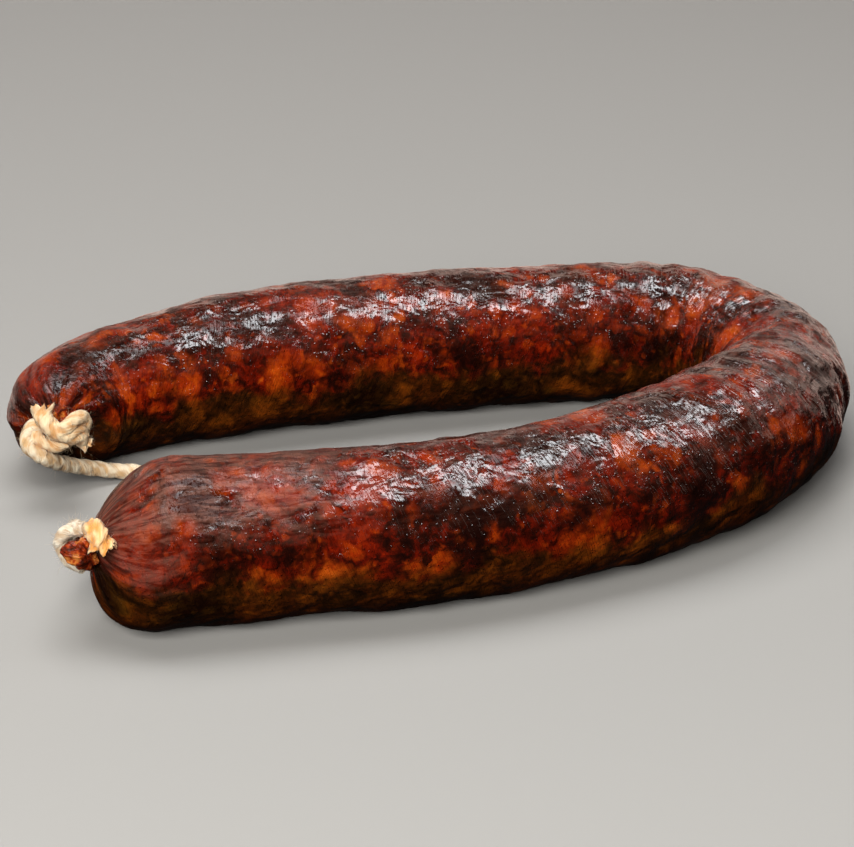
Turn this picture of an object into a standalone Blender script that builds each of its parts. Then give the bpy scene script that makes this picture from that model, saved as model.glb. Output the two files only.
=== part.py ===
import math

import bpy
import bmesh
import numpy as np
from mathutils import Vector, noise

# A cured sausage tied in a horseshoe, lying on its belly on z = 0, in metres.
# +X points to the round of the bend and both tied tips point towards -X. The near
# tip is the one at -Y. One string, knotted round both necks, joins the two tips.

# The centreline, from the near neck round the bend to the far neck
TIP = (-0.0882, -0.0495)       # the near neck, seen from above
TIP_HEADING = 2.0              # degrees from +X
STRETCHES = (                  # length, and turn to the left in degrees
    (0.0478, -5.0),
    (0.085, 27.0),
    (0.067, 52.0),
    (0.024, 55.0),
    (0.022, 43.0),
    (0.101, 13.0),
    (0.036, 12.0),
    (0.025, 76.0),
)
TURN_EASE = 0.014              # turns are spread over this much either side
TAIL_ROOM = 0.014              # the line goes on this far past each neck
LINE_STEP = 0.0002
LENGTH = sum(length for length, turn in STRETCHES)

# The girth: radii at even stations from tip to tip
RADII = (0.0182, 0.0175, 0.0175, 0.0186, 0.0152, 0.0168, 0.0173, 0.0172, 0.0130)
RADIUS_EASE = 0.020
BELLY_FLAT = 0.0005            # how much of the belly is pressed flat
CAP_LENGTH = 0.0155            # the round ends
TIP_REACH = 0.024              # the stretch over which a tip lifts or droops

# The string
STRING_RADIUS = 0.0019
WRAP_RADIUS = 0.0016           # the string where it is drawn tight round a neck
WRAP_SLACK = 0.0004            # between a neck's folds and the string round it

# The gathered necks, the casing past them, and the string tied round them.
# Lean is how far the round end's top is pressed back, for each unit of height.
# Turns are degrees: neck turned in plan and raised, then stub turned and raised.
# A wrap lies this far along the neck, from one angle round it to another.
# Strands are a radius and places from the neck's middle, as seen facing the neck:
# towards the right, up, and out along the neck.
NECK_RADIUS = 0.0018
NECK_EASE = 0.0022
STUB_TIP_RADIUS = 0.0015
NEAR_END = {
    "tip_lift": -0.0030,
    "neck_lift": 0.0046,
    "lean": 0.24,
    "neck_length": 0.0044,
    "stub_length": 0.0066,
    "stub_radius": 0.0032,
    "turns": (-76.0, 4.0, -40.0, 0.0),
    "wrap": 0.0029,
    "wrap_span": (84.0, 276.0),
    "strands": {
        "cut_end": (0.0021, ((0.0003, 0.0042, 0.0008), (0.0029, 0.0057, 0.0016),
                             (0.0054, 0.0064, 0.0024), (0.0076, 0.0062, 0.0028),
                             (0.0090, 0.0048, 0.0028))),
    },
}
FAR_END = {
    "tip_lift": 0.0030,
    "neck_lift": 0.0014,
    "lean": 0.0,
    "neck_length": 0.0032,
    "stub_length": 0.0074,
    "stub_radius": 0.0024,
    "turns": (-14.0, 0.0, 12.0, 80.0),
    "wrap": 0.0026,
    "wrap_span": (170.0, 370.0),
    "strands": {
        "knot": (0.0022, ((-0.0038, 0.0070, 0.0052), (-0.0038, 0.0060, 0.0062),
                          (-0.0031, 0.0044, 0.0076), (-0.0014, 0.0028, 0.0084),
                          (0.0008, 0.0017, 0.0086), (0.0031, 0.0010, 0.0080),
                          (0.0047, -0.0002, 0.0066))),
        "lobe": (0.0016, ((-0.0004, 0.0027, 0.0092), (0.0014, 0.0044, 0.0098),
                          (0.0031, 0.0053, 0.0090), (0.0047, 0.0052, 0.0076),
                          (0.0056, 0.0033, 0.0062), (0.0051, 0.0012, 0.0058),
                          (0.0039, 0.0000, 0.0062), (0.0051, -0.0015, 0.0066),
                          (0.0060, -0.0023, 0.0066))),
        "loop": (0.0020, ((-0.0043, 0.0000, 0.0016), (-0.0051, 0.0023, 0.0038),
                          (-0.0063, 0.0018, 0.0040), (-0.0072, 0.0006, 0.0046),
                          (-0.0076, -0.0007, 0.0054), (-0.0069, -0.0023, 0.0062),
                          (-0.0054, -0.0032, 0.0066))),
        "under": (0.0015, ((-0.0058, 0.0016, 0.0042), (-0.0052, 0.0003, 0.0060),
                           (-0.0035, -0.0009, 0.0070), (-0.0013, -0.0015, 0.0074),
                           (0.0014, -0.0007, 0.0076))),
    },
}

# The run of string from the far knot down to the surface and up to the near knot
STRING_ROUTE = (
    (-0.0934, 0.0105, 0.0130), (-0.0926, 0.0107, 0.0123), (-0.0913, 0.0119, 0.0111),
    (-0.0893, 0.0141, 0.0093), (-0.0861, 0.0174, 0.0068), (-0.0817, 0.0203, 0.0044),
    (-0.0768, 0.0217, 0.0026), (-0.0719, 0.0213, 0.0021), (-0.0672, 0.0184, 0.0020),
    (-0.0640, 0.0138, 0.0020), (-0.0628, 0.0082, 0.0020), (-0.0637, 0.0024, 0.0020),
    (-0.0668, -0.0030, 0.0021), (-0.0709, -0.0080, 0.0026), (-0.0754, -0.0130, 0.0038),
    (-0.0800, -0.0188, 0.0058), (-0.0845, -0.0250, 0.0086), (-0.0884, -0.0316, 0.0116),
    (-0.0913, -0.0384, 0.0146), (-0.0929, -0.0438, 0.0170), (-0.0934, -0.0464, 0.0180),
)
STRING_POINTS = 64
STRING_SIDES = 8
WRAP_STEPS = 20
STRAND_STEPS = 3               # points on a strand for each of its places

# Relief of the skin
GATHERS = 9                    # folds of casing drawn in at each neck
GATHER_DEPTH = 0.0008
GATHER_REACH = 0.009
GATHER_CENTRE = 0.003
GATHER_SHIFT = 0.8             # how far the gathers wander round the end
GATHER_WANDER = 0.02
NECK_GATHER = 0.2              # share of a fold's depth along the neck itself
LUMP_DEPTH = 0.0007
LUMP_SIZE = 0.013
FOLD_PITCH = 0.0074            # folds round the bend, deepest on its inside
FOLD_DEPTH = 0.0004
FOLD_SHIFT = 2.2
FOLD_WANDER = 0.017
FOLD_OUTSIDE = 0.35            # share of a fold's depth on the outside of the bend
FOLD_SIDE = 20.0               # degrees below the outer side where folds are least
FOLDS_FROM = 0.125
FOLDS_TO = 0.265
DENTS = (                      # distance, angle, half length, half angle, depth
    (0.027, 50.0, 0.008, 15.0, 0.0016),
    (0.043, 68.0, 0.022, 24.0, 0.0014),
    (0.080, 66.0, 0.012, 18.0, 0.0008),
    (0.015, 112.0, 0.009, 22.0, -0.0006),
    (0.196, 128.0, 0.012, 30.0, 0.0013),
    (0.366, 70.0, 0.010, 22.0, 0.0009),
)

SIDES = 36
STATIONS = 100
CAP_RINGS = 7
NECK_RINGS = 4
STUB_RINGS = 5


def eased(distances, stations, values, ease):
    # Values read between stations, averaged over a length on either side
    reach = 10 * ease
    first = (values[1] - values[0]) / (stations[1] - stations[0])
    last = (values[-1] - values[-2]) / (stations[-1] - stations[-2])
    stations = [stations[0] - reach, *stations, stations[-1] + reach]
    values = [values[0] - reach * first, *values, values[-1] + reach * last]
    offsets = np.linspace(-1, 1, 25)
    weights = 1 + np.cos(math.pi * offsets)
    total = np.zeros(len(distances))
    for offset, weight in zip(offsets, weights):
        total += weight * np.interp(distances + offset * ease, stations, values)
    return total / weights.sum()


def tail_turn(past, end):
    # How far the neck and stub have turned in plan and risen, past the round end
    def step(at, amount):
        return amount * 0.5 * (1 + np.sin(0.5 * math.pi * np.clip((past - at) / NECK_EASE, -1, 1)))
    neck_turn, neck_rise, stub_turn, stub_rise = end["turns"]
    stub_at = end["neck_length"] + 0.5 * NECK_EASE
    return step(NECK_EASE, neck_turn) + step(stub_at, stub_turn), \
        step(NECK_EASE, neck_rise) + step(stub_at, stub_rise)


class Centreline:
    # Centre, direction and girth at any distance from the near neck

    def __init__(self):
        fine = np.arange(-TAIL_ROOM, LENGTH + TAIL_ROOM, LINE_STEP)
        body = np.clip(fine, 0, LENGTH)
        ends = [0.0, *np.cumsum([length for length, turn in STRETCHES])]
        turns = TIP_HEADING + np.cumsum([0.0] + [turn for length, turn in STRETCHES])
        heading = eased(body, ends, list(turns), TURN_EASE)
        near_turn, near_rise = tail_turn(-fine, NEAR_END)
        far_turn, far_rise = tail_turn(fine - LENGTH, FAR_END)
        heading = np.radians(heading - near_turn + far_turn)
        rise = np.radians(far_rise - near_rise)
        stations = list(np.linspace(0, LENGTH, len(RADII)))
        self.distance = fine
        self.girth = eased(body, stations, list(RADII), RADIUS_EASE)
        flat = np.cos(rise)
        self.direction = np.stack([np.cos(heading) * flat, np.sin(heading) * flat, np.sin(rise)], 1)
        self.centre = np.cumsum(self.direction, 0) * (fine[1] - fine[0])
        start = np.argmin(np.abs(fine))
        self.centre += np.array([*TIP, -BELLY_FLAT]) - self.centre[start]
        self.centre[:, 2] += self.girth
        for end, inside in ((NEAR_END, body), (FAR_END, LENGTH - body)):
            self.centre[:, 2] += end["tip_lift"] * np.clip(1 - inside / TIP_REACH, 0, 1) ** 2
            self.centre[:, 2] += end["neck_lift"] * np.clip(1 - inside / CAP_LENGTH, 0, 1) ** 3

    def frame(self, distance):
        # Centre, direction, outer side of the horseshoe, upward side, girth
        centre = Vector([np.interp(distance, self.distance, self.centre[:, k]) for k in range(3)])
        along = Vector([np.interp(distance, self.distance, self.direction[:, k]) for k in range(3)])
        along.normalize()
        outer = along.cross(Vector((0, 0, 1))).normalized()
        girth = float(np.interp(distance, self.distance, self.girth))
        return centre, along, outer, outer.cross(along), girth


def tail_distances(end):
    stub = end["neck_length"] + end["stub_length"] * np.linspace(1, 0.15, STUB_RINGS)
    neck = end["neck_length"] * np.linspace(0.9, 0.1, NECK_RINGS)
    return [*stub, *neck]


def ring_distances():
    cap = CAP_LENGTH * (1 - np.cos(np.linspace(0.10, 1, CAP_RINGS) * math.pi / 2))
    arms = np.linspace(CAP_LENGTH, LENGTH - CAP_LENGTH, STATIONS)[1:-1]
    near = [-distance for distance in tail_distances(NEAR_END)]
    far = [LENGTH + distance for distance in reversed(tail_distances(FAR_END))]
    return [*near, *cap, *arms, *(LENGTH - cap[::-1]), *far]


def section_radius(distance, girth):
    # The arm's girth, rounded off at the ends; past them the neck and the stub
    inside = min(distance, LENGTH - distance)
    if inside >= CAP_LENGTH:
        return girth
    if inside >= 0:
        fullness = 1 - (1 - inside / CAP_LENGTH) ** 2
        return math.sqrt(NECK_RADIUS ** 2 + (girth ** 2 - NECK_RADIUS ** 2) * fullness)
    end = NEAR_END if distance < 0 else FAR_END
    along_stub = (-inside - end["neck_length"]) / end["stub_length"]
    if along_stub <= 0:
        return NECK_RADIUS
    taper = NECK_RADIUS + (STUB_TIP_RADIUS - NECK_RADIUS) * along_stub
    bulge = math.sin(math.pi * min(along_stub, 1))
    return taper + (end["stub_radius"] - 0.5 * (NECK_RADIUS + STUB_TIP_RADIUS)) * bulge


def relief(distance, angle, point):
    # How far the skin stands off the round form
    inside = min(distance, LENGTH - distance)
    fade = min(max(inside / CAP_LENGTH, 0), 1)
    height = LUMP_DEPTH * fade * noise.noise(point / LUMP_SIZE)
    drawn = math.exp(-((inside - GATHER_CENTRE) / GATHER_REACH) ** 2) if inside > 0 else NECK_GATHER
    wander = GATHER_SHIFT * noise.noise(point / GATHER_WANDER)
    height += GATHER_DEPTH * drawn * math.cos(GATHERS * math.radians(angle) + wander)
    if FOLDS_FROM < distance < FOLDS_TO:
        middle = math.sin(math.pi * (distance - FOLDS_FROM) / (FOLDS_TO - FOLDS_FROM))
        inner = 0.5 - 0.5 * math.cos(math.radians(angle + FOLD_SIDE))
        inner = FOLD_OUTSIDE + (1 - FOLD_OUTSIDE) * inner
        phase = 2 * math.pi * distance / FOLD_PITCH + FOLD_SHIFT * noise.noise(point / FOLD_WANDER)
        height += FOLD_DEPTH * inner * math.sqrt(middle) * math.sin(phase)
    for at, side, half_length, half_angle, depth in DENTS:
        turn = (angle - side + 180) % 360 - 180
        reach = ((distance - at) / half_length) ** 2 + (turn / half_angle) ** 2
        height -= depth * math.exp(-reach)
    return height


def leaning(distance, height):
    # How far a point of a round end is pushed along the line by the end's lean
    end, inwards = (NEAR_END, 1) if distance < LENGTH / 2 else (FAR_END, -1)
    inside = min(max(min(distance, LENGTH - distance), 0), TIP_REACH)
    share = 0.5 * (1 + math.cos(math.pi * inside / TIP_REACH))
    return inwards * end["lean"] * share * height


def make_sausage(line, material, collection):
    mesh = bmesh.new()
    rings = []
    for distance in ring_distances():
        centre, along, outer, upward, girth = line.frame(distance)
        radius = section_radius(distance, girth)
        ring = []
        for side in range(SIDES):
            angle = 360 * side / SIDES
            turn = math.radians(angle)
            across = outer * math.cos(turn) + upward * math.sin(turn)
            point = centre + across * radius
            point += across * relief(distance, angle, point)
            if 0 < distance < LENGTH:
                point += along * leaning(distance, point.z - centre.z)
            point.z = max(point.z, 0.0)
            ring.append(mesh.verts.new(point))
        rings.append(ring)
    for ring, following in zip(rings, rings[1:]):
        for side in range(SIDES):
            beside = (side + 1) % SIDES
            mesh.faces.new((ring[side], ring[beside], following[beside], following[side]))
    mesh.faces.new(list(reversed(rings[0])))
    mesh.faces.new(rings[-1])
    bmesh.ops.recalc_face_normals(mesh, faces=mesh.faces)
    data = bpy.data.meshes.new("sausage")
    mesh.to_mesh(data)
    mesh.free()
    data.materials.append(material)
    data.shade_smooth()
    collection.objects.link(bpy.data.objects.new("sausage", data))


def smooth_route(points, count):
    # Even points on a smooth curve through the route's own points
    knots = [Vector(point) for point in points]
    knots = [knots[0] * 2 - knots[1], *knots, knots[-1] * 2 - knots[-2]]
    dense = []
    for a, b, c, d in zip(knots, knots[1:], knots[2:], knots[3:]):
        for step in range(24):
            t = step / 24
            bend = (2 * a - 5 * b + 4 * c - d) * t * t + (3 * b - a - 3 * c + d) * t ** 3
            dense.append(0.5 * (2 * b + (c - a) * t + bend))
    dense.append(knots[-2])
    along = np.cumsum([0.0] + [(q - p).length for p, q in zip(dense, dense[1:])])
    even = np.linspace(0, along[-1], count)
    axes = [np.interp(even, along, [point[k] for point in dense]) for k in range(3)]
    return [Vector(point) for point in zip(*axes)]


def add_tube(name, points, radius, material, collection, closed=False):
    curve = bpy.data.curves.new(name, "CURVE")
    curve.dimensions = "3D"
    curve.bevel_depth = radius
    curve.bevel_resolution = STRING_SIDES // 2 - 2
    curve.use_fill_caps = True
    spline = curve.splines.new("POLY")
    spline.points.add(len(points) - 1)
    spline.use_cyclic_u = closed
    for place, point in zip(spline.points, points):
        place.co = (*point, 1)
    curve.materials.append(material)
    tube = bpy.data.objects.new(name, curve)
    collection.objects.link(tube)
    return tube


def as_mesh(tube, collection):
    # The tube as a closed mesh, which a Boolean can join
    bpy.context.view_layer.update()
    evaluated = tube.evaluated_get(bpy.context.evaluated_depsgraph_get())
    data = bpy.data.meshes.new_from_object(evaluated)
    mesh = bmesh.new()
    mesh.from_mesh(data)
    bmesh.ops.remove_doubles(mesh, verts=mesh.verts, dist=0.00001)
    bmesh.ops.recalc_face_normals(mesh, faces=mesh.faces)
    mesh.to_mesh(data)
    mesh.free()
    piece = bpy.data.objects.new(tube.name + "_mesh", data)
    piece.matrix_world = tube.matrix_world
    collection.objects.link(piece)
    bpy.data.objects.remove(tube, do_unlink=True)
    return piece


def join_all(name, pieces, joined, collection):
    # One Boolean union of a collection's pieces, applied
    knot = pieces.pop(0)
    joined.objects.unlink(knot)
    collection.objects.link(knot)
    union = knot.modifiers.new("joined", "BOOLEAN")
    union.operation = "UNION"
    union.operand_type = "COLLECTION"
    union.collection = joined
    union.solver = "EXACT"
    bpy.context.view_layer.update()
    evaluated = knot.evaluated_get(bpy.context.evaluated_depsgraph_get())
    data = bpy.data.meshes.new_from_object(evaluated)
    data.name = name
    knot.modifiers.remove(union)
    knot.data = data
    knot.name = name
    for piece in pieces:
        bpy.data.objects.remove(piece, do_unlink=True)
    bpy.data.collections.remove(joined)


def make_knot(name, line, end, material, collection):
    # A turn of string round a neck and the knot's strands, joined into one body
    base, outwards = (0, -1) if end is NEAR_END else (LENGTH, 1)
    joined = new_collection(name + "_strands")
    centre, along, outer, upward, girth = line.frame(base + outwards * end["wrap"])
    radius = NECK_RADIUS + GATHER_DEPTH * NECK_GATHER + WRAP_SLACK + WRAP_RADIUS
    first, last = end["wrap_span"]
    closed = last - first == 360
    turns = np.radians(np.linspace(first, last, WRAP_STEPS, endpoint=not closed))
    wrap = [centre + (outer * math.cos(t) + upward * math.sin(t)) * radius for t in turns]
    pieces = [add_tube(name + "_wrap", wrap, WRAP_RADIUS, material, joined, closed)]
    centre, along, outer, upward, girth = line.frame(base + outwards * end["neck_length"] / 2)
    out = along * outwards
    right = outer * -outwards
    up = out.cross(right)
    for part, (radius, places) in end["strands"].items():
        points = [centre + right * r + up * u + out * o for r, u, o in places]
        points = smooth_route(points, STRAND_STEPS * len(points))
        pieces.append(add_tube(f"{name}_{part}", points, radius, material, joined))
    pieces = [as_mesh(tube, joined) for tube in pieces]
    join_all(name, pieces, joined, collection)


def make_material(name, colour, roughness):
    material = bpy.data.materials.new(name)
    material.use_nodes = True
    shader = material.node_tree.nodes["Principled BSDF"]
    shader.inputs["Base Color"].default_value = (*colour, 1)
    shader.inputs["Roughness"].default_value = roughness
    shader.inputs["Metallic"].default_value = 0.0
    material.diffuse_color = (*colour, 1)
    return material


def new_collection(name):
    collection = bpy.data.collections.new(name)
    bpy.context.scene.collection.children.link(collection)
    return collection


def main():
    for piece in list(bpy.data.objects):
        bpy.data.objects.remove(piece, do_unlink=True)
    collection = new_collection("cured_sausage")
    casing = make_material("casing", (0.10, 0.018, 0.006), 0.22)
    cotton = make_material("cotton_string", (0.78, 0.64, 0.45), 0.9)
    line = Centreline()
    make_sausage(line, casing, collection)
    make_knot("knot_near", line, NEAR_END, cotton, collection)
    make_knot("knot_far", line, FAR_END, cotton, collection)
    route = smooth_route(STRING_ROUTE, STRING_POINTS)
    add_tube("string", route, STRING_RADIUS, cotton, collection)


main()
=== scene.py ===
import math
import random

import bpy
import bmesh
import numpy as np
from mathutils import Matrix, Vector, noise


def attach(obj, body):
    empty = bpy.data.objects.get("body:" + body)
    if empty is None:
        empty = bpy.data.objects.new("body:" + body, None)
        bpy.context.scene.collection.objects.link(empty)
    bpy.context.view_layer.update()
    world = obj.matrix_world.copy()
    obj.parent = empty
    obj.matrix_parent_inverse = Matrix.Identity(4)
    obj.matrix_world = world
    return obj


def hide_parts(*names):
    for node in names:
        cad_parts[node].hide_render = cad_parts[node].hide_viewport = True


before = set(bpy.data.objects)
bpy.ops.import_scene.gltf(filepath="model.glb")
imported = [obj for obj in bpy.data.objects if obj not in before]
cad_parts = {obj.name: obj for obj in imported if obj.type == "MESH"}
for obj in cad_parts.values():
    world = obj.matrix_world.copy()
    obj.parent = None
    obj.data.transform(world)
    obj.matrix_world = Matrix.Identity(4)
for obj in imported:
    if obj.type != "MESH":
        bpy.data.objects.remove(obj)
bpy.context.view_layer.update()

# The cured sausage: a glossy marbled horseshoe, two string knots and the string
# between them. Lengths are metres and angles degrees, unless a note says mm.

mm = 0.001


# camera, fitted to the outline in the photo
camera = {
    "target": (0.0024, 0.0386, 0.0), "heading": 12.0, "tilt": 24.0, "distance": 0.733, "lens": 126.46,
}


def addCamera():
    heading, tilt = math.radians(camera["heading"]), math.radians(camera["tilt"])
    level = math.cos(tilt)
    back = Vector((-math.sin(heading) * level, -math.cos(heading) * level, math.sin(tilt)))
    lens = bpy.data.cameras.new("studioCamera")
    lens.lens = camera["lens"]
    eye = bpy.data.objects.new("studioCamera", lens)
    eye.location = Vector(camera["target"]) + back * camera["distance"]
    eye.rotation_euler = (-back).to_track_quat("-Z", "Y").to_euler()
    bpy.context.scene.collection.objects.link(eye)
    bpy.context.scene.camera = eye


# line and girth of the sausage, from the near neck round the bend to the far neck
body = {
    "tip": (-0.0882, -0.0495),
    "tipHeading": 2.0,
    "stretches": (                 # length, and turn to the left
        (0.0478, -5.0), (0.085, 27.0), (0.067, 52.0), (0.024, 55.0),
        (0.022, 43.0), (0.101, 13.0), (0.036, 12.0), (0.025, 76.0),
    ),
    "turnEase": 0.014,
    "radii": (0.0182, 0.0175, 0.0175, 0.0186, 0.0152, 0.0168, 0.0173, 0.0172, 0.0130),
    "radiusEase": 0.020,
    "bellyFlat": 0.0005,
    "capLength": 0.0155,
    "tipReach": 0.024,
    "neckRadius": 0.0018,
    "neckEase": 0.0022,
    "stubTipRadius": 0.0015,
    "lineStep": 0.0002,            # between the entries of the line's tables
    "tail": 0.014,                 # how far the tables reach past each neck
    "easeSamples": 25,
    "ringGap": 0.00065,            # between the fine mesh's rings
    "capRings": 40, "capFrom": 0.05,           # how far round the cap its first ring is
    "tailRings": 30, "tailFrom": 0.0003, "tailShare": 0.98,
    "sides": 128,
}
# an end's turns: sideways and up at the neck, then sideways and up at the stub
nearEnd = {
    "tipLift": -0.0030, "neckLift": 0.0046, "lean": 0.24, "neckLength": 0.0044,
    "stubLength": 0.0060, "stubRadius": 0.0035, "turns": (-76.0, 4.0, -40.0, 0.0), "wrap": 0.0029,
}
farEnd = {
    "tipLift": 0.0030, "neckLift": 0.0014, "lean": 0.0, "neckLength": 0.0032,
    "stubLength": 0.0074, "stubRadius": 0.0024, "turns": (-14.0, 0.0, 12.0, 80.0), "wrap": 0.0026,
    "stubSpread": 1.7, "spreadSpeed": 3,
}
bodyLength = sum(length for length, turn in body["stretches"])


def eased(distances, stations, values, ease):   # corners rounded over the ease to each side
    reach = 10 * ease              # carries both ends on past the window
    first = (values[1] - values[0]) / (stations[1] - stations[0])
    last = (values[-1] - values[-2]) / (stations[-1] - stations[-2])
    stations = [stations[0] - reach, *stations, stations[-1] + reach]
    values = [values[0] - reach * first, *values, values[-1] + reach * last]
    offsets = np.linspace(-1, 1, body["easeSamples"])
    weights = 1 + np.cos(math.pi * offsets)
    total = np.zeros(len(distances))
    for offset, weight in zip(offsets, weights):
        total += weight * np.interp(distances + offset * ease, stations, values)
    return total / weights.sum()


def tailTurn(past, end):           # turn and rise of the line past a neck
    def step(at, amount):
        reach = np.clip((past - at) / body["neckEase"], -1, 1)
        return amount * 0.5 * (1 + np.sin(0.5 * math.pi * reach))
    neckTurn, neckRise, stubTurn, stubRise = end["turns"]
    stubAt = end["neckLength"] + 0.5 * body["neckEase"]
    turned = step(body["neckEase"], neckTurn) + step(stubAt, stubTurn)
    risen = step(body["neckEase"], neckRise) + step(stubAt, stubRise)
    return turned, risen


def measureLine():                 # tables of centre, direction and girth
    fine = np.arange(-body["tail"], bodyLength + body["tail"], body["lineStep"])
    inside = np.clip(fine, 0, bodyLength)
    ends = [0.0, *np.cumsum([length for length, turn in body["stretches"]])]
    turns = body["tipHeading"] + np.cumsum([0.0] + [turn for length, turn in body["stretches"]])
    heading = eased(inside, ends, list(turns), body["turnEase"])
    nearTurn, nearRise = tailTurn(-fine, nearEnd)
    farTurn, farRise = tailTurn(fine - bodyLength, farEnd)
    heading = np.radians(heading - nearTurn + farTurn)
    rise = np.radians(farRise - nearRise)
    stations = list(np.linspace(0, bodyLength, len(body["radii"])))
    girth = eased(inside, stations, list(body["radii"]), body["radiusEase"])
    flat = np.cos(rise)
    direction = np.stack([np.cos(heading) * flat, np.sin(heading) * flat, np.sin(rise)], 1)
    centre = np.cumsum(direction, 0) * (fine[1] - fine[0])
    start = np.argmin(np.abs(fine))
    centre += np.array([*body["tip"], -body["bellyFlat"]]) - centre[start]
    centre[:, 2] += girth
    for end, depth in ((nearEnd, inside), (farEnd, bodyLength - inside)):
        centre[:, 2] += end["tipLift"] * np.clip(1 - depth / body["tipReach"], 0, 1) ** 2
        centre[:, 2] += end["neckLift"] * np.clip(1 - depth / body["capLength"], 0, 1) ** 3
    return {"distance": fine, "centre": centre, "direction": direction, "girth": girth}


line = measureLine()


def lineFrame(distance):           # centre, direction, outer side, upward side, girth
    centre = Vector([np.interp(distance, line["distance"], line["centre"][:, k]) for k in range(3)])
    along = Vector([np.interp(distance, line["distance"], line["direction"][:, k]) for k in range(3)])
    along.normalize()
    outer = along.cross(Vector((0, 0, 1))).normalized()
    girth = float(np.interp(distance, line["distance"], line["girth"]))
    return centre, along, outer, outer.cross(along), girth


def sectionRadius(distance, girth):
    inside = min(distance, bodyLength - distance)
    if inside >= body["capLength"]:
        return girth
    if inside >= 0:
        fullness = 1 - (1 - inside / body["capLength"]) ** 2
        return math.sqrt(body["neckRadius"] ** 2 + (girth ** 2 - body["neckRadius"] ** 2) * fullness)
    end = nearEnd if distance < 0 else farEnd
    alongStub = (-inside - end["neckLength"]) / end["stubLength"]
    if alongStub <= 0:
        return body["neckRadius"]
    taper = body["neckRadius"] + (body["stubTipRadius"] - body["neckRadius"]) * alongStub
    bulge = math.sin(math.pi * min(alongStub, 1))
    return taper + (end["stubRadius"] - 0.5 * (body["neckRadius"] + body["stubTipRadius"])) * bulge


# relief of the skin, coarse to fine: depth, then size or pitch. A wander is its amount and size.
relief = {
    "lumpDepth": 0.0007, "lumpSize": 0.013,
    "gathers": 9, "gatherDepth": (0.0008, 0.0005), "gatherWander": (0.8, 0.02),
    "gatherFrom": 0.003, "gatherReach": 0.009, "neckGather": 0.2,
    "pleats": 27, "pleatDepth": (0.00030, 0.00014), "pleatWander": (5.0, 0.009),
    "pleatFrom": 0.002, "pleatReach": 0.013, "neckPleat": 0.5,
    "foldDepth": 0.0004, "foldPitch": 0.0074, "foldWander": (2.2, 0.017),
    "foldsFrom": 0.125, "foldsTo": 0.265, "foldLeast": 0.35, "foldTilt": 20.0,
    "chunkDepth": 0.00042, "chunkSize": 0.0052,
    "grainDepth": 0.00010, "grainSize": 0.0021,
    "wrinkleDepth": 0.00026, "wrinkleGap": 0.0019, "wrinkleRun": 0.55, "wrinkleRise": 0.6,
    "wrinkleCut": 2, "wrinkleLeast": 0.25, "wrinkleMiddle": 0.195, "wrinkleReach": 0.06,
    "stubFolds": 3, "stubTwist": 0.35, "stubFoldDepth": 0.0007,    # the twist is in radians per mm
    "stubLumpDepth": 0.0014, "stubLumpSize": 0.0022, "stubEase": 0.004, "stubFrom": 0.6,
    "dents": (                     # distance, angle, half length, half angle, depth
        (0.027, 50.0, 0.008, 15.0, 0.0016),
        (0.043, 68.0, 0.022, 24.0, 0.0014),
        (0.080, 66.0, 0.012, 18.0, 0.0008),
        (0.015, 112.0, 0.009, 22.0, -0.0006),
        (0.196, 128.0, 0.012, 30.0, 0.0013),
        (0.366, 70.0, 0.010, 22.0, 0.0009),
    ),
}


def wandering(name, point):
    amount, size = relief[name]
    return amount * noise.noise(point / size)


def skinHeight(distance, angle, point):
    turn = math.radians(angle)
    inside = min(distance, bodyLength - distance)
    onFar = int(distance > bodyLength / 2)
    fade = min(max(inside / body["capLength"], 0), 1)
    height = relief["lumpDepth"] * fade * noise.noise(point / relief["lumpSize"])

    past = (inside - relief["gatherFrom"]) / relief["gatherReach"]
    drawn = math.exp(-past ** 2) if inside > 0 else relief["neckGather"]
    gather = math.cos(relief["gathers"] * turn + wandering("gatherWander", point))
    height += relief["gatherDepth"][onFar] * drawn * gather

    past = max(inside - relief["pleatFrom"], 0) / relief["pleatReach"]
    pleated = math.exp(-past ** 2) * (1 if inside > 0 else relief["neckPleat"])
    wander = wandering("pleatWander", point)
    crease = 1 - abs(math.sin(0.5 * (relief["pleats"] * turn + wander)))
    height -= relief["pleatDepth"][onFar] * pleated * crease

    if relief["foldsFrom"] < distance < relief["foldsTo"]:
        span = relief["foldsTo"] - relief["foldsFrom"]
        middle = math.sin(math.pi * (distance - relief["foldsFrom"]) / span)
        facing = 0.5 - 0.5 * math.cos(turn + math.radians(relief["foldTilt"]))
        inner = relief["foldLeast"] + (1 - relief["foldLeast"]) * facing
        phase = 2 * math.pi * distance / relief["foldPitch"] + wandering("foldWander", point)
        height += relief["foldDepth"] * inner * math.sqrt(middle) * math.sin(phase)

    for at, side, halfLength, halfAngle, depth in relief["dents"]:
        offAngle = (angle - side + 180) % 360 - 180
        reach = ((distance - at) / halfLength) ** 2 + (offAngle / halfAngle) ** 2
        height -= depth * math.exp(-reach)

    if inside > 0:
        height += relief["chunkDepth"] * fade * noise.noise(point / relief["chunkSize"])
        height += relief["grainDepth"] * noise.noise(point / relief["grainSize"])
        past = (distance - relief["wrinkleMiddle"]) / relief["wrinkleReach"]
        bend = relief["wrinkleLeast"] + (1 - relief["wrinkleLeast"]) * math.exp(-past ** 2)
        run = relief["wrinkleRun"]
        ribbon = Vector((distance / relief["wrinkleGap"], math.cos(turn) / run, math.sin(turn) / run))
        wrinkle = relief["wrinkleRise"] - relief["wrinkleCut"] * abs(noise.noise(ribbon))
        height += relief["wrinkleDepth"] * bend * wrinkle * fade
    else:
        crumpled = min(max(-inside / relief["stubEase"] - relief["stubFrom"], 0), 1)
        fold = math.cos(relief["stubFolds"] * turn + relief["stubTwist"] * inside / mm)
        lump = relief["stubLumpDepth"] * noise.noise(point / relief["stubLumpSize"])
        height += crumpled * (relief["stubFoldDepth"] * fold + lump)
    return height


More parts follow.
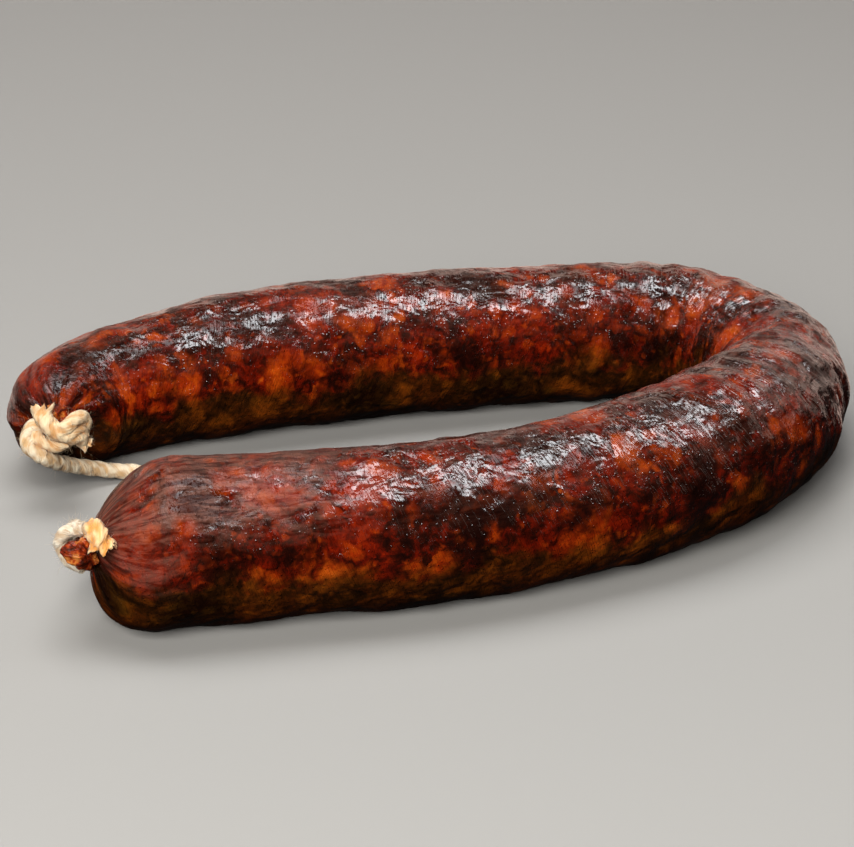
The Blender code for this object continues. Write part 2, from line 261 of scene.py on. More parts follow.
def leaning(distance, height):     # how far a round end's lean pushes a point along the line
    end, inwards = (nearEnd, 1) if distance < bodyLength / 2 else (farEnd, -1)
    inside = min(max(min(distance, bodyLength - distance), 0), body["tipReach"])
    share = 0.5 * (1 + math.cos(math.pi * inside / body["tipReach"]))
    return inwards * end["lean"] * share * height


def ringDistances():               # closer together where the ends close
    def tail(end):
        whole = end["neckLength"] + end["stubLength"]
        return list(np.linspace(body["tailShare"] * whole, body["tailFrom"], body["tailRings"]))
    even = np.linspace(body["capFrom"], 1, body["capRings"])
    cap = body["capLength"] * (1 - np.cos(even * math.pi / 2))
    count = round((bodyLength - 2 * body["capLength"]) / body["ringGap"])
    arms = np.linspace(body["capLength"], bodyLength - body["capLength"], count)[1:-1]
    near = [-distance for distance in tail(nearEnd)]
    far = [bodyLength + distance for distance in reversed(tail(farEnd))]
    return [*near, *cap, *arms, *(bodyLength - cap[::-1]), *far]


def addPiece(name, mesh, *materials):
    bmesh.ops.recalc_face_normals(mesh, faces=mesh.faces)
    data = bpy.data.meshes.new(name)
    mesh.to_mesh(data)
    mesh.free()
    for material in materials:
        data.materials.append(material)
    for face in data.polygons:
        face.use_smooth = len(face.vertices) < 5
    piece = bpy.data.objects.new(name, data)
    bpy.context.scene.collection.objects.link(piece)
    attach(piece, "root")
    return piece


def addLoft(mesh, rings, sides, place):     # a closed tube, whose points go where place puts them
    made = bmesh.ops.create_grid(mesh, x_segments=rings - 1, y_segments=sides, size=1)["verts"]
    for vertex in made:
        place(vertex, round((vertex.co.x + 1) / 2 * (rings - 1)), math.pi * (vertex.co.y + 1))
    bmesh.ops.remove_doubles(mesh, verts=made, dist=0.000001)
    rims = [edge for edge in mesh.edges if edge.is_boundary]
    bmesh.ops.holes_fill(mesh, edges=rims, sides=0)


def addSausage(material):
    distances = ringDistances()
    frames = [lineFrame(distance) for distance in distances]
    mesh = bmesh.new()
    skin = mesh.verts.layers.float_vector.new("skin")

    def place(vertex, ring, turn):
        distance = distances[ring]
        centre, along, outer, upward, girth = frames[ring]
        across = outer * math.cos(turn) + upward * math.sin(turn)
        point = centre + across * sectionRadius(distance, girth)
        point += across * skinHeight(distance, math.degrees(turn) % 360, point)
        if 0 < distance < bodyLength:
            point += along * leaning(distance, point.z - centre.z)
        elif distance > bodyLength:
            past = (distance - bodyLength - farEnd["neckLength"]) / farEnd["stubLength"]
            share = min(max(past * farEnd["spreadSpeed"], 0), 1)
            point += outer * (point - centre).dot(outer) * (farEnd["stubSpread"] - 1) * share
        point.z = max(point.z, 0.0)
        vertex.co = point
        vertex[skin] = (distance / mm, math.cos(turn), math.sin(turn))

    addLoft(mesh, len(distances), body["sides"], place)
    piece = addPiece("marbledSausage", mesh, material)
    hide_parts("sausage")
    print("sausage", len(piece.data.polygons))


# string: soft plies laid round each other along a route
string = {
    "radius": 0.0019, "plies": 3, "plyShare": 0.79, "pitch": 0.0120, "sides": 36, "step": 0.0003,
    "routeParts": 24,
    "lump": 0.08, "lumpSize": 0.0015, "fibre": 0.055, "fibreSize": 0.0022, "fibresAround": 7,
    "flare": 0.18, "tuft": 0.8, "tuftLength": 0.9, "tuftSize": 0.004, "tuftsAround": 2.4,
    "hairs": 260, "seed": 11, "hairRadius": 0.00003, "hairReach": (0.0004, 0.0019),
    "hairBits": 5, "hairRoot": 0.85, "hairCurl": 0.9, "hairTaper": 0.15,
    "lowest": 0.00005,
    "threadTurn": 0.4, "threadShade": (0.1, 0.9, 1.3, 0.9),    # painted shade for the finish: base, darker in grooves, lighter on lumps and fibres
    "route": (
        (-0.0934, 0.0105, 0.0130), (-0.0926, 0.0107, 0.0123), (-0.0913, 0.0119, 0.0111),
        (-0.0893, 0.0141, 0.0093), (-0.0861, 0.0174, 0.0068), (-0.0817, 0.0203, 0.0044),
        (-0.0768, 0.0217, 0.0026), (-0.0719, 0.0213, 0.0021), (-0.0672, 0.0184, 0.0020),
        (-0.0640, 0.0138, 0.0020), (-0.0628, 0.0082, 0.0020), (-0.0637, 0.0024, 0.0020),
        (-0.0668, -0.0030, 0.0021), (-0.0709, -0.0080, 0.0026), (-0.0754, -0.0130, 0.0038),
        (-0.0800, -0.0188, 0.0058), (-0.0845, -0.0250, 0.0086), (-0.0884, -0.0316, 0.0116),
        (-0.0913, -0.0384, 0.0146), (-0.0929, -0.0438, 0.0170), (-0.0934, -0.0464, 0.0180),
    ),
}


def smoothRoute(points, step):     # even points on a smooth curve through the route's own
    knots = [Vector(point) for point in points]
    knots = [knots[0] * 2 - knots[1], *knots, knots[-1] * 2 - knots[-2]]
    dense = []
    for a, b, c, d in zip(knots, knots[1:], knots[2:], knots[3:]):
        for part in range(string["routeParts"]):
            t = part / string["routeParts"]
            bend = (2 * a - 5 * b + 4 * c - d) * t * t + (3 * b - a - 3 * c + d) * t ** 3
            dense.append(0.5 * (2 * b + (c - a) * t + bend))
    dense.append(knots[-2])
    along = np.cumsum([0.0] + [(q - p).length for p, q in zip(dense, dense[1:])])
    even = np.linspace(0, along[-1], max(round(along[-1] / step), 2))
    axes = [np.interp(even, along, [point[k] for point in dense]) for k in range(3)]
    return [Vector(point) for point in zip(*axes)], float(along[-1])


def routeFrames(points):           # a side and an up for each point, carried along without twist
    forward = [(q - p).normalized() for p, q in zip(points, points[1:])]
    forward.append(forward[-1])
    side = forward[0].orthogonal().normalized()
    frames = []
    for direction in forward:
        side = (side - direction * side.dot(direction)).normalized()
        frames.append((direction, side, direction.cross(side)))
    return frames


def plyReach(turn):                # outline of plies pressed together, for a string of radius 1
    off = 1 - string["plyShare"]
    sector = 2 * math.pi / string["plies"]
    turn = (turn + sector / 2) % sector - sector / 2
    return off * math.cos(turn) + math.sqrt(string["plyShare"] ** 2 - (off * math.sin(turn)) ** 2)


def threadNoise(run, laid, size, around):      # lengthwise grain that follows the lay
    return noise.noise(Vector((run / size, around * math.cos(laid), around * math.sin(laid))))


def addStrand(mesh, threads, points, radius, rough=1.0, frayed=0.0):
    # frayed is how far back from its end the strand flares and comes apart
    frames = routeFrames(points)
    length = len(points) * string["step"]
    valley = plyReach(math.pi / string["plies"])

    def place(vertex, ring, turn):
        forward, side, up = frames[ring]
        run = ring * string["step"]
        across = side * math.cos(turn) + up * math.sin(turn)
        point = points[ring]
        laid = turn - 2 * math.pi * run / string["pitch"]
        reach = plyReach(laid)
        groove = min((1 - reach) / (1 - valley), 1)
        lump = noise.noise((point + across * radius) / string["lumpSize"])
        fibre = threadNoise(run, laid, string["fibreSize"], string["fibresAround"])
        reach += rough * (string["lump"] * lump + string["fibre"] * fibre)
        loose = max(1 - (length - run) / frayed, 0) if frayed else 0
        tuft = threadNoise(run, laid, string["tuftSize"], string["tuftsAround"])
        reach += loose * (string["flare"] + string["tuft"] * tuft)
        point = point + across * radius * reach + forward * loose * radius * string["tuftLength"] * tuft
        vertex.co = (point.x, point.y, max(point.z, string["lowest"]))
        # painted shade: darker deep in the ply grooves, lighter on raised lumps and fibres
        base, byGroove, byLump, byFibre = string["threadShade"]
        depth = base + byGroove * groove - byLump * lump - byFibre * fibre
        vertex[threads] = (run / mm, string["threadTurn"] * laid, min(max(depth, 0), 1))

    addLoft(mesh, len(points), string["sides"], place)


def addHairs(mesh, threads, points, radius, count, seed):   # loose fibres standing off the string
    dice = random.Random(seed)
    for hair in range(count):
        start = dice.choice(points)
        away = Vector([dice.gauss(0, 1) for k in range(3)]).normalized()
        curl = Vector([dice.gauss(0, 1) for k in range(3)]).normalized()
        reach = dice.uniform(*string["hairReach"])
        bits = []
        for bit in range(string["hairBits"]):
            t = bit / (string["hairBits"] - 1)
            root = start + away * (radius * string["hairRoot"] + reach * t)
            bits.append(root + curl * reach * string["hairCurl"] * t * t)
        frames = routeFrames(bits)

        def place(vertex, ring, turn):
            forward, side, up = frames[ring]
            across = side * math.cos(turn) + up * math.sin(turn)
            point = bits[ring] + across * string["hairRadius"] * (1 - string["hairTaper"] * ring)
            vertex.co = (point.x, point.y, max(point.z, 2 * string["lowest"]))
            vertex[threads] = (ring, turn, 0)

        addLoft(mesh, string["hairBits"], 3, place)


def addString(material):
    points, length = smoothRoute(string["route"], string["step"])
    mesh = bmesh.new()
    threads = mesh.verts.layers.float_vector.new("threads")
    addStrand(mesh, threads, points, string["radius"])
    piece = addPiece("twistedString", mesh, material)
    fuzz = bmesh.new()
    threads = fuzz.verts.layers.float_vector.new("threads")
    addHairs(fuzz, threads, points, string["radius"], string["hairs"], string["seed"])
    fuzz = addPiece("stringFuzz", fuzz, material)
    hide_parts("string")
    print("string", round(length, 4))


# knots, in mm. A wrap is its tone, its strand's radius, the radius of its turn, how far along the
# neck it lies, how far it wanders from there, and the angles that it spans. A strand is its tone,
# radius, roughness and frayed stretch, and places from the neck's middle, as seen facing the neck:
# right, up and out.
wrapRough = 1.4
farKnot = {
    "hairs": 420, "seed": 5,
    "wraps": (("cream", 1.5, 4.0, 2.6, 0.0, 165.0, 375.0),),
    "strands": {
        "knot": ("cream", 2.25, 1.6, 1.6, (
            (4.7, -0.2, 6.6), (3.1, 1.0, 8.0), (0.8, 1.7, 8.6), (-1.4, 2.8, 8.4),
            (-3.1, 4.4, 7.6), (-3.8, 6.0, 6.2), (-3.9, 7.2, 5.2))),
        "lobe": ("cream", 1.7, 1.6, 1.4, (
            (-0.4, 2.7, 9.2), (1.4, 4.4, 9.8), (3.1, 5.3, 9.0), (4.7, 5.2, 7.6), (5.6, 3.3, 6.2),
            (5.1, 1.2, 5.8), (3.9, 0.0, 6.2), (5.1, -1.5, 6.6), (6.0, -2.3, 6.6))),
        "tuck": ("cream", 1.3, 1.6, 0.0, (
            (0.6, 1.4, 9.4), (2.4, 2.4, 9.6), (4.2, 2.6, 8.4), (5.2, 1.6, 7.0))),
        "loop": ("laid", 1.93, 1.0, 0.0, (     # meets the start of the string
            (-4.3, 0.0, 1.6), (-5.1, 2.3, 3.8), (-6.3, 1.8, 4.0), (-7.2, 0.6, 4.6),
            (-7.6, -0.7, 5.4), (-6.9, -2.1, 6.2), (-5.5, -3.2, 6.8), (-4.45, -4.05, 6.75))),
        "under": ("cream", 1.5, 1.2, 0.0, (
            (-5.8, 1.6, 4.2), (-5.2, 0.3, 6.0), (-3.5, -0.9, 7.0), (-1.3, -1.5, 7.4), (1.4, -0.7, 7.6))),
    },
}
nearKnot = {
    "hairs": 460, "seed": 7,
    "wraps": (
        ("clean", 1.5, 3.9, 2.1, 0.35, 60.0, 292.0),
        ("clean", 1.6, 4.1, 3.6, -0.45, 76.0, 284.0),
    ),
    "strands": {
        "crossing": ("clean", 1.5, 1.8, 0.0, (
            (-2.6, 3.2, -0.9), (-1.0, 4.3, 0.6), (0.4, 4.3, 1.6), (2.6, 5.0, 1.4))),
        "cutEnd": ("oiled", 2.25, 3.8, 2.6, (
            (4.4, 5.4, 1.6), (6.2, 5.9, 2.4), (7.9, 5.1, 2.9), (8.6, 3.9, 3.0), (8.8, 3.0, 3.0))),
    },
}


def addKnot(name, node, end, knot, finishes):
    base, outwards = (0, -1) if end is nearEnd else (bodyLength, 1)
    mesh = bmesh.new()
    threads = mesh.verts.layers.float_vector.new("threads")
    everything = []
    tones = list(dict.fromkeys([part[0] for part in (*knot["wraps"], *knot["strands"].values())]))

    def lay(tone, route, strand, rough, frayed=0.0):
        points, length = smoothRoute(route, string["step"])
        before = len(mesh.faces)
        addStrand(mesh, threads, points, strand * mm, rough, frayed * mm)
        mesh.faces.ensure_lookup_table()
        for face in mesh.faces[before:]:
            face.material_index = tones.index(tone)
        everything.extend(points)

    for tone, strand, turn, place, wander, first, last in knot["wraps"]:
        centre, along, outer, upward, girth = lineFrame(base + outwards * end["wrap"])
        route = []
        for angle in np.radians(np.linspace(first, last, 16)):
            out = place * mm - end["wrap"] + wander * mm * math.sin(2 * angle)
            across = outer * math.cos(angle) + upward * math.sin(angle)
            route.append(centre + across * turn * mm + along * outwards * out)
        lay(tone, route, strand, wrapRough)
    centre, along, outer, upward, girth = lineFrame(base + outwards * end["neckLength"] / 2)
    out = along * outwards
    right = outer * -outwards
    up = out.cross(right)
    for tone, strand, rough, frayed, places in knot["strands"].values():
        route = [centre + (right * r + up * u + out * o) * mm for r, u, o in places]
        lay(tone, route, strand, rough, frayed)
    addHairs(mesh, threads, everything, string["radius"], knot["hairs"], knot["seed"])
    piece = addPiece(name, mesh, *[finishes[tone] for tone in tones])
    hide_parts(node)
    print(name, len(piece.data.polygons))


# finishes
class Finish:                      # a short hand for building a node material
    def __init__(self, name):
        self.material = bpy.data.materials.new(name)
        self.material.use_nodes = True
        self.nodes = self.material.node_tree.nodes
        self.links = self.material.node_tree.links
        self.shader = self.nodes["Principled BSDF"]

    def add(self, kind, inputs=None, **settings):
        node = self.nodes.new("ShaderNode" + kind)
        for key, value in settings.items():
            setattr(node, key, value)
        for key, value in (inputs or {}).items():
            self.feed(node, key, value)
        return node

    def feed(self, node, key, value):
        if isinstance(value, bpy.types.NodeSocket):
            self.links.new(value, node.inputs[key])
        else:
            node.inputs[key].default_value = value

    def math(self, operation, first, second):
        return self.add("Math", {0: first, 1: second}, operation=operation).outputs[0]

    def chain(self, operation, *values):
        total = values[0]
        for value in values[1:]:
            total = self.math(operation, total, value)
        return total

    def shares(self, *terms):      # values added up, each times its share
        return self.chain("ADD", *[self.math("MULTIPLY", value, share) for value, share in terms])

    def mix(self, amount, first, second):
        node = self.add("Mix", data_type="RGBA")
        self.feed(node, "Factor", amount)
        for key, colour in ((6, first), (7, second)):
            self.feed(node, key, (*colour, 1) if isinstance(colour, tuple) else colour)
        return node.outputs[2]

    def ramp(self, amount, stops):
        node = self.add("ValToRGB", {"Fac": amount})
        elements = node.color_ramp.elements
        while len(elements) < len(stops):
            elements.new(0.5)
        for element, (place, colour) in zip(elements, stops):
            element.position = place
            element.color = (*colour, 1)
        return node.outputs["Color"]

    def span(self, value, low, high, toLow=0.0, toHigh=1.0, kind="SMOOTHSTEP"):
        inputs = {"Value": value, "From Min": low, "From Max": high, "To Min": toLow, "To Max": toHigh}
        return self.add("MapRange", inputs, interpolation_type=kind).outputs["Result"]

    def noise(self, vector, scale, detail=3.0, roughness=0.5, distortion=0.0):
        inputs = {"Vector": vector, "Scale": scale, "Detail": detail}
        return self.add("TexNoise", {**inputs, "Roughness": roughness, "Distortion": distortion})

    def vector(self, operation, first, second):
        return self.add("VectorMath", {0: first, 1: second}, operation=operation).outputs[0]

    def bump(self, height, distance, strength=1.0, normal=None):
        node = self.add("Bump", {"Height": height, "Distance": distance, "Strength": strength})
        if normal:
            self.feed(node, "Normal", normal)
        return node.outputs["Normal"]


meat = {
    "lean": ((0.0, (0.0076, 0.0015, 0.0009)), (0.30, (0.017, 0.0024, 0.0010)),
             (0.52, (0.053, 0.0035, 0.0010)), (0.78, (0.127, 0.0059, 0.0009)),
             (1.0, (0.211, 0.013, 0.0013))),
    "fat": ((0.0, (0.150, 0.0072, 0.0009)), (0.40, (0.270, 0.021, 0.0015)), (0.75, (0.404, 0.055, 0.0031)),
            (1.0, (0.494, 0.098, 0.0069))),
    # painted reflection of a dark board, low down, tinting the meat's own lean and fat tones olive
    "oliveReflection": ((0.0, (0.0082, 0.0023, 0.0007)), (0.35, (0.028, 0.012, 0.0015)),
              (0.7, (0.074, 0.028, 0.0023)), (1.0, (0.164, 0.043, 0.0033))),
    "stub": ((0.0, (0.040, 0.006, 0.002)), (0.45, (0.20, 0.018, 0.004)), (0.8, (0.40, 0.060, 0.010)),
             (1.0, (0.62, 0.200, 0.040))),
    "dryFilmAndSheen": ((0.040, 0.0100, 0.0060), (0.240, 0.100, 0.070)),      # painted sheen: grey, pink
    # painted shade near the floor, then dark specks
    "undersideShade": (0.014, 0.0025, 0.0008), "speck": (0.009, 0.003, 0.0016),
    "blobs": (                     # cells per mm, share shown, solid to, gone by, strength
        (0.095, 0.55, 0.16, 0.50, 1.0),
        (0.18, 0.50, 0.16, 0.50, 0.9),
        (0.38, 0.36, 0.12, 0.46, 0.6),
    ),
    "girth": 17,                   # mm of skin to one unit of its turn
    "warps": ((0.12, 2, 7), (0.5, 3, 3)),      # scale, detail, reach in mm
    "edgeWander": 30, "slant": 7.0, "beadScale": 1.2,      # mm, mm, cells per mm
    "cloudShare": 0.5, "oliveReflectionShare": 0.75, "undersideShadeShare": 0.55, "paintedSheenShare": 0.5,
    "leanShares": (0.6, 0.4),      # blotch, fine
    "oliveReflectionShares": (0.5, 0.5),     # the lean's tone, fat
    "fatShares": (0.30, 0.25, 0.45),           # large and middle blobs' own tones, fine
    "roughShares": (0.16, 0.18, 0.26), "roughLeast": 0.16,         # dry, lower band, film
    "specular": 0.1, "coatRoughness": 0.05,
    "textures": {                  # scale, or stretch along and round; detail, roughness, distortion
        "cloud": (0.15, 3, 0.55, 0.0), "blotch": (0.06, 4, 0.6, 0.0), "fine": (0.45, 4, 0.6, 0.0),
        "edge": (0.055, 5, 0.6, 0.0), "speck": (2.2, 3, 0.6, 0.0), "stub": (0.36, 3, 0.6, 0.0),
        "dry": (0.09, 4, 0.6, 0.0),
        "haze": ((0.16, 3.4, 3.4), 5, 0.62, 0.6), "lengthwise": ((0.13, 11, 11), 4, 0.6, 0.8),
        "patch": ((0.17, 3.2, 3.2), 2, 0.5, 0.4), "soaked": ((0.11, 2.4, 2.4), 4, 0.6, 0.5),
        "creased": ((1.05, 1.8, 1.8), 2, 0.5, 0.35), "streak": ((0.7, 4.0, 4.0), 4, 0.6, 0.5),
    },
    "masks": {                     # from and to, in the value's own unit, then the results there
        "cloud": (0.56, 0.68), "lean": (0.40, 0.62, 0.0, 1.0, "LINEAR"), "fine": (0.3, 0.7),
        "shown": (0.38, 0.54, 0.12, 1.0), "oliveReflection": (18.0, 13.0), "under": (9.0, 1.0),
        "speck": (0.60, 0.72, 0.0, 0.5), "stub": (0.36, 0.64), "nearStub": (-3.0, -4.5),
        "farStub": (bodyLength / mm + 2.5, bodyLength / mm + 3.5),
        "filmRun": (64, 40, 0.25, 1.0), "filmTop": (0.20, 0.80), "filmTip": (-3.0, 1.0),
        "capRun": (24, 6), "capTop": (-0.35, 0.35), "haze": (0.32, 0.52), "lengthwise": (0.38, 0.62),
        "crease": (0.0, 0.045), "smooth": (0.1, 0.9, 1.0, 0.3), "bead": (0.40, 0.0), "dry": (0.42, 0.62),
        "wetFrom": (45, 75), "wetTo": (300, 260, 0.0, 0.055), "wet": (0.46, 0.57, 0.08, 1.0),
        "wetFilm": (0.1, 0.8, 1.0, 0.12), "wetLevel": (8.0, 22.0, 0.12, 1.0),
        "wetTip": (362.0, 394.0, 1.0, 0.3),
    },
    "bumps": {
        "patch": 0.0016, "crease": 0.00008, "streak": 0.00016, "lengthwise": 0.00022, "bead": 0.00020},
}


def makeCasing():
    f = Finish("marbledCasing")

    def texture(name, where):
        scale, detail, roughness, distortion = meat["textures"][name]
        if isinstance(scale, tuple):
            where, scale = f.vector("MULTIPLY", where, scale), 1.0
        return f.noise(where, scale, detail, roughness, distortion).outputs["Fac"]

    def mask(name, value):
        return f.span(value, *meat["masks"][name])

    inMm = f.vector("MULTIPLY", f.add("TexCoord").outputs["Object"], (1 / mm,) * 3)
    skin = f.add("Attribute", attribute_name="skin").outputs["Vector"]
    split = f.add("SeparateXYZ", {"Vector": skin})
    run, upward = split.outputs["X"], split.outputs["Z"]
    unrolled = f.vector("MULTIPLY", skin, (1.0, meat["girth"], meat["girth"]))
    warped = unrolled
    for scale, detail, reach in meat["warps"]:
        warp = f.noise(unrolled, scale, detail).outputs["Color"]
        offset = f.vector("MULTIPLY", f.vector("SUBTRACT", warp, (0.5,) * 3), (reach,) * 3)
        warped = f.vector("ADD", warped, offset)

    # fat: round cells with soft edges, and clouds
    fat, tones = 0.0, []
    for scale, share, solid, gone, strength in meat["blobs"]:
        cell = f.add("TexVoronoi", {"Vector": warped, "Scale": scale}, feature="F1")
        pick = f.add("SeparateColor", {"Color": cell.outputs["Color"]})
        chosen = f.math("GREATER_THAN", pick.outputs["Red"], 1 - share)
        blob = f.chain("MULTIPLY", chosen, f.span(cell.outputs["Distance"], gone, solid), strength)
        fat = f.math("MAXIMUM", fat, blob)
        tones.append(pick.outputs["Green"])
    cloud = f.math("MULTIPLY", mask("cloud", texture("cloud", warped)), meat["cloudShare"])
    fat = f.math("MAXIMUM", fat, cloud)

    # colour: lean and fat above, an olive painted reflection of a dark board below, painted shade along
    # the underside, then specks, stubs and the film's painted sheen
    blotch = texture("blotch", unrolled)
    fine = texture("fine", warped)
    leanTone = mask("lean", f.shares(*zip((blotch, fine), meat["leanShares"])))
    lean = f.ramp(leanTone, meat["lean"])
    fatTone = f.shares(*zip((tones[0], tones[1], mask("fine", fine)), meat["fatShares"]))
    shown = f.math("MULTIPLY", fat, mask("shown", blotch))
    colour = f.mix(shown, lean, f.ramp(fatTone, meat["fat"]))
    height = f.add("SeparateXYZ", {"Vector": inMm}).outputs["Z"]
    wander = f.math("SUBTRACT", texture("edge", unrolled), 0.5)
    level = f.math("ADD", height, f.math("MULTIPLY", wander, meat["edgeWander"]))
    # below this level the olive tint is a painted reflection of a dark board
    lower = mask("oliveReflection", level)
    oliveReflection = f.ramp(f.shares(*zip((leanTone, fat), meat["oliveReflectionShares"])), meat["oliveReflection"])
    colour = f.mix(f.math("MULTIPLY", lower, meat["oliveReflectionShare"]), colour, oliveReflection)
    # painted shade: darker towards the floor, over the lowest 9 mm
    under = f.math("MULTIPLY", mask("under", height), meat["undersideShadeShare"])
    colour = f.mix(under, colour, meat["undersideShade"])
    colour = f.mix(mask("speck", texture("speck", inMm)), colour, meat["speck"])
    stub = f.math("MAXIMUM", mask("nearStub", run), mask("farStub", run))
    colour = f.mix(stub, colour, f.ramp(mask("stub", texture("stub", inMm)), meat["stub"]))

    # film: the dry skin along the top, most of it on the near arm's first third. Its colour is a painted
    # sheen, grey and pink.
    top = f.math("MULTIPLY", mask("filmTop", upward), mask("filmRun", run))
    cap = f.math("MULTIPLY", mask("capRun", run), mask("capTop", upward))
    dryFilmAndSheen = f.math("MAXIMUM", top, cap)
    dryFilmAndSheen = f.chain("MULTIPLY", dryFilmAndSheen, mask("haze", texture("haze", skin)), mask("filmTip", run))
    lengthwise = texture("lengthwise", skin)
    # painted sheen of the film, streaked lengthwise between grey and pink
    paintedSheenColour = f.mix(mask("lengthwise", lengthwise), *meat["dryFilmAndSheen"])
    colour = f.mix(f.math("MULTIPLY", dryFilmAndSheen, meat["paintedSheenShare"]), colour, paintedSheenColour)
    f.feed(f.shader, "Base Color", colour)
    dry = mask("dry", texture("dry", unrolled))
    rough = f.shares(*zip((dry, lower, dryFilmAndSheen), meat["roughShares"]))
    f.feed(f.shader, "Roughness", f.math("ADD", rough, meat["roughLeast"]))

    # gloss: broad patches, cut by fine creases that run round the sausage
    slant = f.add("CombineXYZ", {"X": f.math("MULTIPLY", upward, meat["slant"])}).outputs["Vector"]
    slanted = f.vector("ADD", skin, slant)
    crease = f.math("ABSOLUTE", f.math("SUBTRACT", texture("creased", slanted), 0.5), 0.0)
    smooth = mask("smooth", dryFilmAndSheen)
    glint = f.add("TexVoronoi", {"Vector": inMm, "Scale": meat["beadScale"]}, feature="F1")
    size = f.add("SeparateColor", {"Color": glint.outputs["Color"]}).outputs["Red"]
    heights = {
        "patch": texture("patch", skin),
        "crease": f.math("MULTIPLY", mask("crease", crease), smooth),
        "streak": f.math("MULTIPLY", texture("streak", slanted), smooth),
        "lengthwise": f.math("MULTIPLY", lengthwise, dryFilmAndSheen),
        "bead": f.math("MULTIPLY", mask("bead", glint.outputs["Distance"]), size),
    }
    normal = None
    for name, raised in heights.items():
        normal = f.bump(raised, meat["bumps"][name], 1.0, normal)
    f.feed(f.shader, "Normal", normal)
    f.feed(f.shader, "Coat Normal", normal)

    # oil: most from the middle of the near arm round the bend, little on the film and low down
    middle = f.math("MULTIPLY", mask("wetFrom", run), mask("wetTo", run))
    wet = mask("wet", f.math("ADD", texture("soaked", skin), middle))
    wet = f.chain("MULTIPLY", wet, mask("wetFilm", dryFilmAndSheen), mask("wetLevel", level), mask("wetTip", run))
    f.feed(f.shader, "Coat Weight", wet)
    f.shader.inputs["Specular IOR Level"].default_value = meat["specular"]
    f.shader.inputs["Coat Roughness"].default_value = meat["coatRoughness"]
    return f.material


cotton = {
    "tones": {                     # pale crests; a deep tone for the painted shade in the grooves
        "clean": ((0.92, 0.83, 0.68), (0.66, 0.46, 0.28)),
        "laid": ((0.93, 0.81, 0.61), (0.68, 0.43, 0.21)),
        "cream": ((0.95, 0.77, 0.51), (0.72, 0.38, 0.15)),
        "oiled": ((0.95, 0.69, 0.38), (0.80, 0.33, 0.07)),
    },
    "fibreStretch": (1.0, 7.0, 0.0), "fibreScale": 1.3, "fibre": (0.65, 0.35), "fibreDepth": 0.0006,
    "fibreStrength": 0.9,
    "patchScale": 420, "patch": (0.38, 0.62),
    "deepShares": (0.8, 0.25, 0.2),            # painted groove shade, random patch, fibre
    "values": {"Roughness": 0.9, "Sheen Weight": 0.25, "Sheen Roughness": 0.5, "Specular IOR Level": 0.2},
}


def makeCotton(name, pale, deep):
    f = Finish(name)
    threads = f.add("Attribute", attribute_name="threads").outputs["Vector"]
    # the threads' third value is painted shade from the strands' grooves, lumps and fibres
    groove = f.add("SeparateXYZ", {"Vector": threads}).outputs["Z"]
    stretched = f.vector("MULTIPLY", threads, cotton["fibreStretch"])
    fibre = f.noise(stretched, cotton["fibreScale"], 4, 0.6).outputs["Fac"]
    place = f.add("TexCoord").outputs["Object"]
    patch = f.span(f.noise(place, cotton["patchScale"], 3).outputs["Fac"], *cotton["patch"])
    # deep tone: painted shade in the grooves, plus random patches and fibre streaks
    parts = (groove, patch, f.span(fibre, *cotton["fibre"]))
    f.feed(f.shader, "Base Color", f.mix(f.shares(*zip(parts, cotton["deepShares"])), pale, deep))
    f.feed(f.shader, "Normal", f.bump(fibre, cotton["fibreDepth"], cotton["fibreStrength"]))
    for key, value in cotton["values"].items():
        f.shader.inputs[key].default_value = value
    return f.material


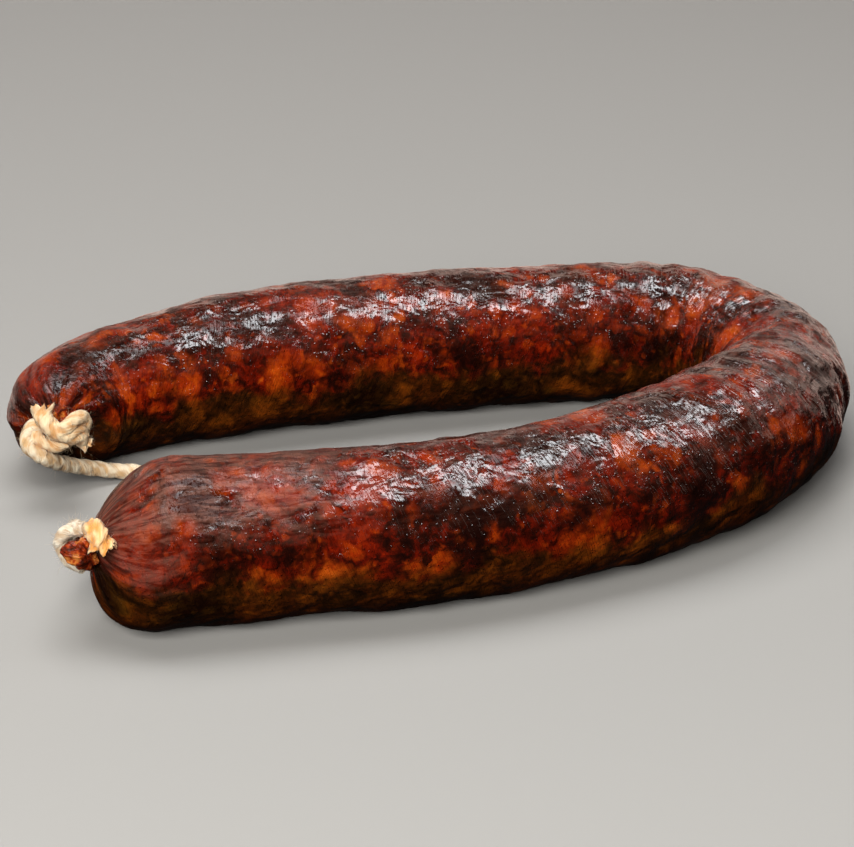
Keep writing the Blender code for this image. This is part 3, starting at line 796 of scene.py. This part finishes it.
# floor and light
studio = {
    "floor": (0.36, 0.355, 0.345), "floorRoughness": 0.75, "floorSize": 4, "floorDrop": 0.0002,
    "world": (0.90, 0.88, 0.88), "worldStrength": 0.015,
    "lights": {                    # place, aims at, size, power, colour, seen in gloss alone
        "softboxAbove": (
            (0.35, 0.08, 1.00), (0.35, 0.05, 0.0), (1.45, 0.38), 24.0, (0.93, 0.97, 1.0), True),
        "panelBehind": (
            (0.0, 1.70, 0.10), (0.0, 0.0, 0.10), (3.4, 1.8), 14.0, (1.0, 0.72, 0.61), True),
        "panelLeft": (
            (-1.6, 0.5, 0.55), (0.0, 0.0, 0.0), (1.6, 0.9), 4.5, (1.0, 0.72, 0.61), True),
        "panelRight": (
            (1.6, 0.7, 0.55), (0.0, 0.0, 0.0), (1.6, 0.9), 4.5, (1.0, 0.72, 0.61), True),
        "keyAbove": (
            (-0.1, 0.20, 1.10), (0.0, 0.0, 0.0), (0.8, 0.8), 9.0, (1.0, 0.98, 0.95), False),
        "fillFront": (
            (-0.40, -0.80, 0.58), (0.0, 0.0, 0.0), (0.6, 0.6), 15.5, (1.0, 0.97, 0.92), False),
    },
}


def addStudio():
    mesh = bmesh.new()
    bmesh.ops.create_grid(mesh, x_segments=2, y_segments=2, size=studio["floorSize"])
    data = bpy.data.meshes.new("paleFloor")
    mesh.to_mesh(data)
    mesh.free()
    f = Finish("paleFloor")
    f.shader.inputs["Base Color"].default_value = (*studio["floor"], 1)
    f.shader.inputs["Roughness"].default_value = studio["floorRoughness"]
    data.materials.append(f.material)
    floor = bpy.data.objects.new("paleFloor", data)
    floor.location.z = -studio["floorDrop"]
    floor.visible_glossy = False   # the gloss then shows the lights alone, as over a dark board
    floor.visible_diffuse = False
    bpy.context.scene.collection.objects.link(floor)
    world = bpy.data.worlds.new("softStudio")
    world.use_nodes = True
    background = world.node_tree.nodes["Background"]
    background.inputs["Color"].default_value = (*studio["world"], 1)
    background.inputs["Strength"].default_value = studio["worldStrength"]
    bpy.context.scene.world = world
    for name, (place, aim, size, power, colour, glossOnly) in studio["lights"].items():
        light = bpy.data.lights.new(name, "AREA")
        light.shape = "RECTANGLE"
        light.size, light.size_y = size
        light.energy = power
        light.color = colour
        lamp = bpy.data.objects.new(name, light)
        lamp.location = place
        lamp.rotation_euler = (Vector(aim) - Vector(place)).to_track_quat("-Z", "Y").to_euler()
        lamp.visible_glossy = glossOnly
        lamp.visible_diffuse = not glossOnly
        bpy.context.scene.collection.objects.link(lamp)


bpy.context.scene.view_settings.view_transform = "Standard"
addCamera()
casingFinish = makeCasing()
cottonFinishes = {
    tone: makeCotton(tone + "Cotton", *colours) for tone, colours in cotton["tones"].items()}
addString(cottonFinishes["laid"])
addSausage(casingFinish)
addKnot("knotFar", "knot_far", farEnd, farKnot, cottonFinishes)
addKnot("knotNear", "knot_near", nearEnd, nearKnot, cottonFinishes)
addStudio()
print("studio ready")

bpy.context.view_layer.update()
